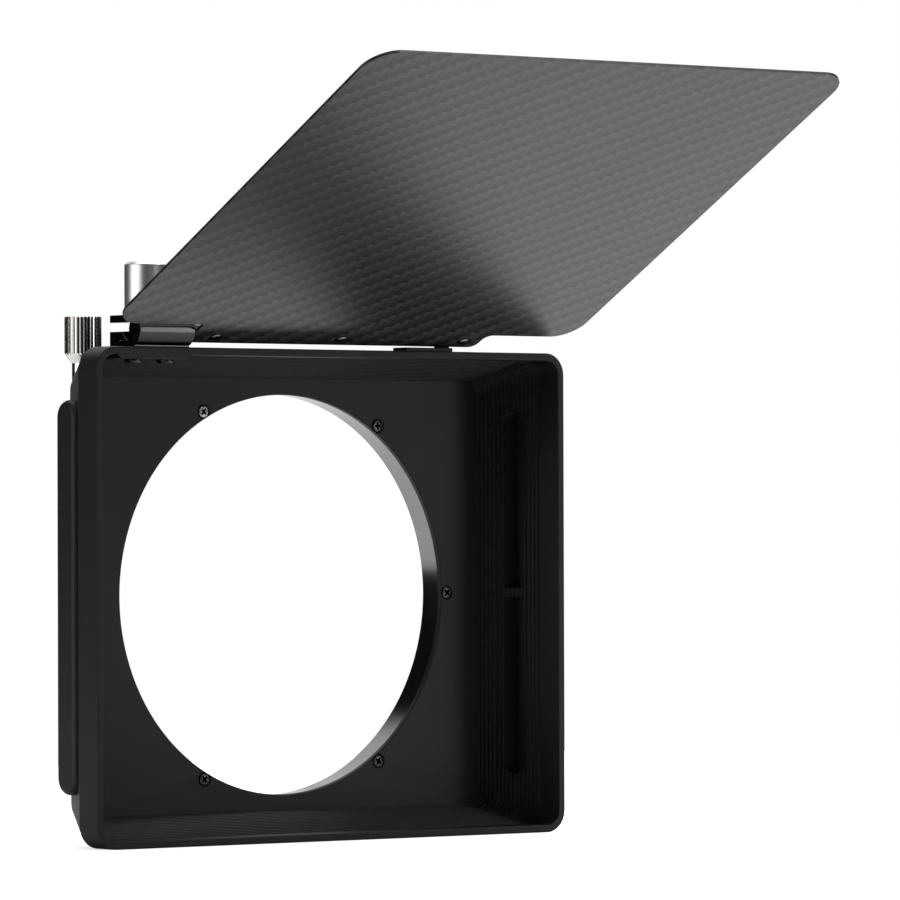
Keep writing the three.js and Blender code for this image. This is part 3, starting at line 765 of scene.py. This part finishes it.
def folds_between(bm, front, rear):
    """Folded edges that lie between two places along the lens axis."""
    return [
        e for e in bm.edges
        if edge_angle_over(e, HOOD_FOLD) and all(front < v.co.y <= rear for v in e.verts)
    ]


def hood_shell(hood):
    """Tapered shell with a rounded rim and lightly broken inner steps."""
    bm = bmesh.new()
    loft(bm, outside_stations(hood) + inside_stations(hood), CORNER_SEGMENTS)
    bevel_edges(bm, folds_between(bm, RIM_FRONT - MM, RIM_FRONT + 0.1 * MM), 0.4 * MM, 3)
    bevel_edges(bm, folds_between(bm, RIM_FRONT + 10 * MM, 0), 0.12 * MM, 1)
    return to_object(bm, "hood_shell")


def add_casings(shell, hood):
    """Join the round-ended casing on each side to the shell."""
    middle, width, height = CASING
    for side in (-1, 1):
        outline = obround_points(RIM_FRONT / MM + middle, width, height)
        casing = prism("casing", outline, "X", side * 90, side * 103, 2.4, 60, 6)
        bm = bmesh.new()
        loft(bm, inside_stations(hood), CORNER_SEGMENTS)
        carve(casing, to_object(bm, "void"))
        carve(shell, casing, "UNION")


def cut_pockets(shell):
    """Cut two slots, one above the other, into the wall on each side."""
    middle, width, height = POCKET
    upper = obround_points(RIM_FRONT / MM + middle, width, height, 1.65)
    lower = [(a, -b) for a, b in upper]
    for side in (-1, 1):
        for points in (lower, upper):
            carve(shell, prism("pocket", points, "X", side * 80, side * 100.2))


class MATTEBOX_OT_hood(bpy.types.Operator):
    """Build the hood with its stepped inside, side casings and screw holes"""

    bl_idname = "mattebox.hood"
    bl_label = "Hood"

    def execute(self, context):
        hood = settings("hood")
        shell = hood_shell(hood)
        add_casings(shell, hood)
        cut_pockets(shell)
        front, plate, radius = RIM_FRONT / MM, PLATE_FRONT / MM, hood.bore / 2 / MM
        pad = [(-93, 82.8), (-64.7, 82.8), (-61.7, 85.8), (-96, 85.8)]
        carve(shell, prism("pad", pad, "Y", front, front + 11.9, 0.2), "UNION")
        bore = [
            (0, plate - 1), (radius + 0.3, plate - 1), (radius + 0.3, plate), (radius, plate + 0.3),
            (radius, plate + 4), (0, plate + 4),
        ]
        carve(shell, turned("bore", bore, 192, facing(REARWARD)))
        cut_sinks(shell, RING_PLACES, REARWARD, *HOOD_SINK)
        for place in LEFT_PLACES:
            cut_hole(shell, LEFT_HOLE, -1, 8, Matrix.Translation(place), 40)
        pin = Vector((83.25 * MM, PLATE_FRONT, 75.2 * MM))
        cut_hole(shell, 0.5, -1, 4, facing(REARWARD, pin), 24)
        dress(shell, "hood coating", "hood_black", "hood_body", ("hood",), HOOD_FOLD)
        return {"FINISHED"}


# Clamp ring behind the hood.

RING_INNER = 72


class MATTEBOX_OT_clamp_ring(bpy.types.Operator):
    """Build the split ring that grips the lens"""

    bl_idname = "mattebox.clamp_ring"
    bl_label = "Clamp ring"

    def execute(self, context):
        ring = turned("clamp_ring_body", [
            (RING_INNER, -10), (77.6, -10), (78, -9.6), (78, -0.4), (77.6, 0),
            (RING_INNER + 0.4, 0), (RING_INNER, -0.4), (RING_INNER, -10),
        ], 192, facing(REARWARD))
        ears = block("ears", (-88, -7, -11), (-70, 0, 11), 0.5)
        shoulder = block("shoulder", (-88, -10, 56), (-43, 0, 68), 0.5)
        for lug in (ears, shoulder):
            cut_hole(lug, RING_INNER, -20, 20, facing(REARWARD), 192)
            carve(ring, lug, "UNION")
        carve(ring, block("relief", (-100, -8, -36), (-60, -7, 36)))
        carve(ring, block("split", (-100, -7.5, -1), (-60, 3, 1)))
        for radius, low, high in ((2.05, -13.1, 13), (3.75, 50, 72)):
            cut_hole(ring, radius, low, high, Matrix.Translation(THUMB), 48)
        cut_sinks(ring, RING_PLACES, REARWARD, *RING_SINK)
        cut_sinks(ring, CLAMP_PLACES, FORWARD, *CLAMP_SINK)
        dress(ring, "glossy ring black", "ring_black", "hood_body", ("clamp_ring",))
        return {"FINISHED"}


# Screws.


def cross_recess(screw, head, face, deep, matrix, angle):
    """Cut a cross that narrows toward its floor into a head from its face."""
    for turn in (angle, angle + 90):
        bm = bmesh.new()
        bmesh.ops.create_cube(bm, size=1)
        arm = (head * 0.72 * MM, head * 0.25 * MM, deep * 2 * MM)
        bmesh.ops.scale(bm, vec=arm, verts=bm.verts[:])
        for sign, taper in ((1, (0.6, 0.8, 1)), (-1, (1.4, 1.2, 1))):
            bmesh.ops.scale(bm, vec=taper, verts=[v for v in bm.verts if v.co.z * sign > 0])
        bmesh.ops.translate(bm, vec=(0, 0, face * MM), verts=bm.verts[:])
        bmesh.ops.rotate(bm, verts=bm.verts[:], matrix=Matrix.Rotation(math.radians(turn), 3, "Z"))
        bmesh.ops.transform(bm, verts=bm.verts[:], matrix=matrix)
        carve(screw, to_object(bm, "recess"))


def countersunk(name, place, direction, head, depth, thread, length, angle, crown=0.0):
    """Countersunk screw; a crown above zero makes its face slightly domed."""
    shape = [
        (0, -crown), (head * 0.3, -crown * 0.85), (head / 2 - 0.08, 0), (head / 2, 0.05),
        (head / 2, 0.1), (thread / 2, depth), (thread / 2, length - 0.4),
        (thread / 2 - 0.4, length), (0, length),
    ]
    if not crown:
        del shape[1]
    matrix = facing(direction, place)
    screw = turned(name, shape, 40, matrix)
    cross_recess(screw, head, -crown, depth * 1.4, matrix, angle)
    return screw


def pan_head(name, place, head, height, thread, length, angle):
    """Pan-head screw that hangs below its seat, its thread going up."""
    matrix = Matrix.Translation(place)
    rim = arc((head / 2 - 0.75, -height + 0.75), 0.75, 270, 360, 6)
    shape = [
        (0, -height), *rim, (head / 2, -0.1), (head / 2 - 0.1, 0), (thread / 2, 0),
        (thread / 2, length - 0.4), (thread / 2 - 0.4, length), (0, length),
    ]
    screw = turned(name, shape, 48, matrix)
    cross_recess(screw, head, -height, height * 0.8, matrix, angle)
    return screw


class MATTEBOX_OT_screws(bpy.types.Operator):
    """Build the countersunk screws of the ring, the brackets and the accessory block"""

    bl_idname = "mattebox.screws"
    bl_label = "Screws"

    def execute(self, context):
        black = ("blackened steel", "dark_steel", "hood_body")
        pale = ("plain steel", "steel", "hood_body")
        groups = (
            ("ring_screw", RING_PLACES, REARWARD, RING_SCREW),
            ("accessory_screw", CLAMP_PLACES, FORWARD, CLAMP_SCREW),
            ("right_bracket_screw", RIGHT_PLACES, DOWN, RIGHT_SCREW),
        )
        for family, places, direction, sizes in groups:
            for i, place in enumerate(places, 1):
                node = f"{family}_{i}"
                screw = countersunk(f"{node}_body", place, direction, *sizes, RECESS_ANGLES[i - 1])
                dress(screw, *(pale if node == PALE_SCREW else black), (node,))
        for i, place in enumerate(LEFT_PLACES, 1):
            node = f"left_bracket_screw_{i}"
            screw = pan_head(f"{node}_body", place, *LEFT_SCREW, RECESS_ANGLES[i])
            dress(screw, *black, (node,))
        return {"FINISHED"}


# Thumbscrew of the clamp ring.


class MATTEBOX_OT_thumbscrew(bpy.types.Operator):
    """Build the tall knurled screw that closes the ring"""

    bl_idname = "mattebox.thumbscrew"
    bl_label = "Thumbscrew"

    def execute(self, context):
        body = turned("thumbscrew_body", [
            (0, -13), (1.6, -13), (2, -12.6), (2, 11.1), (3.5, 11.1), (3.7, 11.3), (3.7, 82),
            (KNURL_BOTTOM, HEAD_LOW), (0, HEAD_LOW),
        ], 96, Matrix.Translation(THUMB))
        teeth, turn = 30, 52
        outline = []
        for i in range(teeth):
            for share, radius in ((0, KNURL_BOTTOM), (0.42, KNURL_RIDGE), (0.58, KNURL_RIDGE)):
                angle = math.radians((i + share) * 360 / teeth + turn)
                outline.append((radius * math.cos(angle), radius * math.sin(angle)))
        head = prism("head", outline, "Z", HEAD_LOW, HEAD_HIGH)
        chamfers = turned("chamfers", [
            (0, HEAD_LOW), (6.1, HEAD_LOW), (6.8, HEAD_LOW + 0.7), (6.8, HEAD_HIGH - 0.3),
            (6.5, HEAD_HIGH), (0, HEAD_HIGH),
        ], 96)
        carve(head, chamfers, "INTERSECT")
        head.data.transform(Matrix.Translation(THUMB))
        carve(body, head, "UNION")
        dress(body, "thumbscrew silver", "satin_silver", "thumbscrew", ("clamp_thumbscrew",), 25)
        return {"FINISHED"}


# Accessory clamp.


class MATTEBOX_OT_accessory_clamp(bpy.types.Operator):
    """Build the slotted block, its stud and the smooth knob"""

    bl_idname = "mattebox.accessory_clamp"
    bl_label = "Accessory clamp"

    def execute(self, context):
        x, y = CLAMP.x / MM, CLAMP.y / MM
        left, right = x - 11.35, x + 11.35
        front = y - 5.9
        jaws = prism("accessory_jaws", [
            (front, 82), (0, 82), (0, 57), (3, 57), (3, 99.3), (front, 99.3),
        ], "X", left, right, 0.4, FOLD, 3)
        carve(jaws, block("slit", (left - 3, front - 3, 93.4), (-50, 6, 96.6)))
        cut_hole(jaws, 2.55, 84.9, 103, Matrix.Translation(CLAMP), 48)
        cut_sinks(jaws, CLAMP_PLACES, FORWARD, *CLAMP_SINK)
        dress(jaws, "black anodised", "bracket_black", "hood_body", ("accessory_block",))
        knob = turned("accessory_knob_body", [
            (0, 118.3), (6.1, 118.3), (6.35, 118.25), (7.25, 117.45), (7.4, 117.1), (7.4, 99.9),
            (7.3, 99.65), (7.0, 99.4), (2.55, 99.4), (2.55, 111.1), (0, 111.1),
        ], 96, Matrix.Translation(CLAMP))
        dress(knob, "knob silver", "satin_silver", "knob", ("accessory_knob",))
        stud = turned("accessory_stud_body", [
            (0, 85), (2.1, 85), (2.5, 85.4), (2.5, 111), (0, 111),
        ], 48, Matrix.Translation(CLAMP))
        dress(stud, "plain steel", "steel", "knob", ("accessory_stud",))
        return {"FINISHED"}


# Hinge brackets on the rim. A hook reaches from one X to another, in mm.

LEFT_HOOK = (-86.4, -63)
RIGHT_HOOK = (50, 52.8)


def hook_points(open_from, open_to, count=40):
    """Outline of a hook round the hinge, open between two angles in degrees."""
    centre = (HINGE.y / MM, HINGE.z / MM)
    outer = arc(centre, HOOK_OUTER, open_to, open_from + 360, count)
    inner = arc(centre, HOOK_INNER, open_from + 360, open_to, count)
    return outer + inner


class MATTEBOX_OT_brackets(bpy.types.Operator):
    """Build the two hinge brackets on the upper rim"""

    bl_idname = "mattebox.brackets"
    bl_label = "Hinge brackets"

    def execute(self, context):
        front, top = RIM_FRONT / MM, RIM_TOP / MM
        start, end = LEFT_HOOK
        left = prism("left_hook", hook_points(-10, 118), "X", start, end, 0.25, 50)
        foot = block("foot", (start, front + 1.5, top), (end, front + 11, top + 2.2), 0.2)
        cut_hole(foot, HOOK_INNER, -120, 120, facing(RIGHTWARD, HINGE), 96)
        carve(left, foot, "UNION")
        for place in LEFT_PLACES:
            cut_hole(left, LEFT_HOLE, -1, 6.7, Matrix.Translation(place), 40)
        dress(left, "black anodised", "bracket_black", "hood_body", ("hinge_bracket_left",))
        start, end = RIGHT_HOOK
        right = prism("right_hook", hook_points(92, 254), "X", start, end, 0.2, 50)
        base = block("base", (31.9, front + 0.8, top), (end, front + 8.8, top + 1.3), 0.15)
        cut_hole(base, HOOK_INNER, -120, 120, facing(RIGHTWARD, HINGE), 96)
        carve(right, base, "UNION")
        cut_sinks(right, RIGHT_PLACES, DOWN, *RIGHT_SINK)
        dress(right, "hood coating", "hood_black", "hood_body", ("hinge_bracket_right",))
        return {"FINISHED"}


# Top flag on its rod. Both are built flat, with the hinge on X, and then raised.

# Hinge axis to the plate's underside, in mm.
FLAG_DROP = 3.914


def raised(thing):
    """Turn a piece of the flag to its angle at rest and move it to the hinge."""
    turn = Matrix.Rotation(-settings("flag").angle, 4, "X")
    thing.data.transform(Matrix.Translation(HINGE) @ turn)
    return thing


class MATTEBOX_OT_flag(bpy.types.Operator):
    """Build the carbon flag, its rod and its screws"""

    bl_idname = "mattebox.flag"
    bl_label = "Top flag"

    def execute(self, context):
        flag = settings("flag")
        left, right = flag.left / MM, flag.right / MM
        reach, thick = flag.reach / MM, flag.thickness / MM
        flat = FLAG_DROP - thick
        tab_left, tab_right, tab_rear = -62.6, 65, 2.07
        outline = rounded_outline([
            (-left, -reach, 11), (right, -reach, 11), (right, -6.33, 10.3),
            (tab_right, -6.33, 3.3), (tab_right, tab_rear, 3.4), (tab_left, tab_rear, 0),
            (tab_left, -10.13, 1), (-left, -10.13, 10.3),
        ])
        plate = prism("carbon_flag", outline, "Z", -flat - thick, -flat, 0.06, 50, 1)
        rod = turned("hinge_rod", [
            (0, -84.1), (4.15, -84.1), (4.45, -83.8), (4.45, 59.7), (4.15, 60), (0, 60),
        ], 96, facing(RIGHTWARD))
        carve(rod, block("flat", (tab_left - 0.1, -9, -9), (tab_right, 9, -flat + 0.1)))
        for i, x in enumerate(FLAG_SCREW_XS, 1):
            place = Vector((x, -1.33, -flat - thick)) * MM
            cut_sinks(plate, [place], UP, *PLATE_SINK)
            cut_sinks(rod, [place], UP, *ROD_SINK)
            node = f"flag_screw_{i}"
            screw = countersunk(f"{node}_body", place, UP, *FLAG_SCREW, RECESS_ANGLES[i], 0.35)
            dress(raised(screw), "dark steel", "dark_steel", "flag", (node,))
        dress(raised(plate), "carbon weave", "carbon", "flag", ("flag_plate",))
        dress(raised(rod), "black anodised", "bracket_black", "flag", ("flag_rod",))
        return {"FINISHED"}


# Stage.

# Name, place, target, size and watts of each lamp.
CENTRE = (0, -0.04, 0.03)
SOFTBOXES = (
    ("top softbox", (0.1, 0.0, 1.7), CENTRE, (1.6, 1.2), 15),
    ("key softbox", (1.1, -1.4, 1.6), CENTRE, (0.8, 0.8), 9.5),
    ("low strip", (1.07, -1.5, -0.04), (-0.07, -0.04, -0.04), (0.3, 0.82), 4),
    ("left softbox", (-1.6, 0.06, 0.12), (0, 0.06, 0.08), (1.66, 0.8), 10.2),
    ("floor light", (0.75, 0.15, 0.9), (0.34, 0.0, -0.087), (0.5, 0.5), 7.5),
)
# Direction of each pale patch of the room, and the cosines where it starts and is full.
BACKDROP = ((0.61, 0.79, 0.0), 0.91, 0.97)
BEHIND = ((0.25, 0.8, 0.55), 0.89, 0.98)
CEILING = ((0.1, -0.1, 1.0), 0.45, 0.92)
CEILING_LIGHT, ROOM_LIGHT = 0.5, 0.012
FLOOR_HALF, FLOOR_GAP, FLOOR_GLOW = 0.6, 0.05 * MM, 0.7
# Where the camera looks at the rim: to the right of the lens axis in the picture, and up.
AIM_RIGHT, AIM_UP = 40.113 * MM, 51.325 * MM


def stage_camera(stage):
    """Camera of the photograph, aimed at a point beside the middle of the mouth."""
    sin_a, cos_a = math.sin(stage.azimuth), math.cos(stage.azimuth)
    sin_p, cos_p = math.sin(stage.pitch), math.cos(stage.pitch)
    back = Vector((sin_a * cos_p, -cos_a * cos_p, sin_p))
    right = Vector((cos_a, sin_a, 0))
    up = back.cross(right)
    turned_right = right * math.cos(stage.roll) + up * math.sin(stage.roll)
    turned_up = up * math.cos(stage.roll) - right * math.sin(stage.roll)
    target = right * AIM_RIGHT + Vector((0, RIM_FRONT, AIM_UP))
    place = target + back * stage.distance
    camera = into_scene("camera", bpy.data.cameras.new("camera"))
    turn = Matrix((turned_right, turned_up, back)).transposed().to_4x4()
    camera.matrix_world = Matrix.Translation(place) @ turn
    camera.data.lens = stage.lens
    camera.data.sensor_width = 36
    camera.data.clip_start = 0.05
    camera.data.clip_end = 60
    bpy.context.scene.camera = camera


def softbox(name, place, target, size, watts):
    """A rectangular lamp that looks at a target."""
    lamp = bpy.data.lights.new(name, "AREA")
    lamp.shape = "RECTANGLE"
    lamp.size, lamp.size_y = size
    lamp.energy = watts
    thing = into_scene(name, lamp)
    thing.location = place
    thing.rotation_euler = (Vector(target) - Vector(place)).to_track_quat("-Z", "Y").to_euler()


def seen_directly(tree):
    """One for rays from the camera, also through glass."""
    path = tree.nodes.new("ShaderNodeLightPath").outputs
    return math_node(tree, "MAXIMUM", path["Is Camera Ray"], path["Is Transmission Ray"])


def room_patch(tree, where, direction, start, full):
    """How far a direction lies inside a soft round patch of the room."""
    dot = tree.nodes.new("ShaderNodeVectorMath")
    dot.operation = "DOT_PRODUCT"
    tree.links.new(where, dot.inputs[0])
    dot.inputs[1].default_value = Vector(direction).normalized()
    patch = tree.nodes.new("ShaderNodeMapRange")
    patch.interpolation_type = "SMOOTHSTEP"
    patch.inputs["From Min"].default_value = start
    patch.inputs["From Max"].default_value = full
    tree.links.new(dot.outputs["Value"], patch.inputs["Value"])
    return patch.outputs["Result"]


def studio_room(tree):
    """Light of the room by direction: pale behind and above, and dim elsewhere."""
    where = tree.nodes.new("ShaderNodeTexCoord").outputs["Generated"]
    backdrop = room_patch(tree, where, *BACKDROP)
    behind = room_patch(tree, where, *BEHIND)
    ceiling = room_patch(tree, where, *CEILING)
    above = math_node(tree, "MULTIPLY_ADD", ceiling, CEILING_LIGHT, ROOM_LIGHT)
    return math_node(tree, "MAXIMUM", math_node(tree, "MAXIMUM", backdrop, behind), above)


def pale_floor():
    """A pale floor just below the hood, which also glows a little for the camera."""
    bm = bmesh.new()
    bmesh.ops.create_grid(bm, x_segments=1, y_segments=1, size=FLOOR_HALF)
    bmesh.ops.translate(bm, verts=bm.verts[:], vec=(0.3, 0, -RIM_TOP - FLOOR_GAP))
    floor = to_object(bm, "floor")
    if floor.data.polygons[0].normal.z < 0:
        floor.data.flip_normals()
    tree, shader = new_material("pale floor", (0.86, 0.86, 0.86), 0.9)
    shader.inputs["Specular IOR Level"].default_value = 0.0
    shader.inputs["Emission Color"].default_value = (1, 1, 1, 1)
    glow = math_node(tree, "MULTIPLY", seen_directly(tree), FLOOR_GLOW)
    tree.links.new(glow, shader.inputs["Emission Strength"])
    floor.data.materials.append(bpy.data.materials["pale floor"])


def studio_world():
    """A white background for the camera, and the room's light for everything else."""
    world = bpy.data.worlds.new("studio")
    bpy.context.scene.world = world
    world.use_nodes = True
    tree = world.node_tree
    background = tree.nodes["Background"]
    background.inputs["Color"].default_value = (1, 1, 1, 1)
    strength = mix_number(tree, seen_directly(tree), studio_room(tree), 1.0)
    tree.links.new(strength, background.inputs["Strength"])


class MATTEBOX_OT_stage(bpy.types.Operator):
    """Set the floor, the soft light and the camera"""

    bl_idname = "mattebox.stage"
    bl_label = "Stage"

    def execute(self, context):
        stage_camera(settings("stage"))
        pale_floor()
        studio_world()
        for lamp in SOFTBOXES:
            softbox(*lamp)
        context.scene.view_settings.view_transform = "Standard"
        return {"FINISHED"}


class MATTEBOX_PT_panel(bpy.types.Panel):
    """Sizes and steps of the matte box"""

    bl_label = "Matte Box"
    bl_idname = "MATTEBOX_PT_panel"
    bl_space_type = "VIEW_3D"
    bl_region_type = "UI"
    bl_category = "Matte Box"

    def draw(self, context):
        layout = self.layout
        for name in SETTINGS:
            group = settings(name)
            box = layout.box()
            for prop in group.bl_rna.properties:
                if prop.identifier not in {"rna_type", "name"}:
                    box.prop(group, prop.identifier)
        for operator in OPERATORS:
            layout.operator(operator.bl_idname)


SETTINGS = {
    "hood": HoodSettings,
    "flag": FlagSettings,
    "finish": FinishSettings,
    "stage": StageSettings,
}
OPERATORS = (
    MATTEBOX_OT_finishes,
    MATTEBOX_OT_hood,
    MATTEBOX_OT_clamp_ring,
    MATTEBOX_OT_screws,
    MATTEBOX_OT_thumbscrew,
    MATTEBOX_OT_accessory_clamp,
    MATTEBOX_OT_brackets,
    MATTEBOX_OT_flag,
    MATTEBOX_OT_stage,
)
CLASSES = (*SETTINGS.values(), *OPERATORS, MATTEBOX_PT_panel)


def register():
    for cls in CLASSES:
        bpy.utils.register_class(cls)
    for name, cls in SETTINGS.items():
        setattr(bpy.types.Scene, "matte_box_" + name, PointerProperty(type=cls))


def unregister():
    for name in SETTINGS:
        delattr(bpy.types.Scene, "matte_box_" + name)
    for cls in reversed(CLASSES):
        bpy.utils.unregister_class(cls)


def main():
    register()
    for operator in OPERATORS:
        module, name = operator.bl_idname.split(".")
        if getattr(getattr(bpy.ops, module), name)() != {"FINISHED"}:
            raise RuntimeError(f"{operator.bl_label} was not finished")


if __name__ == "__main__":
    main()
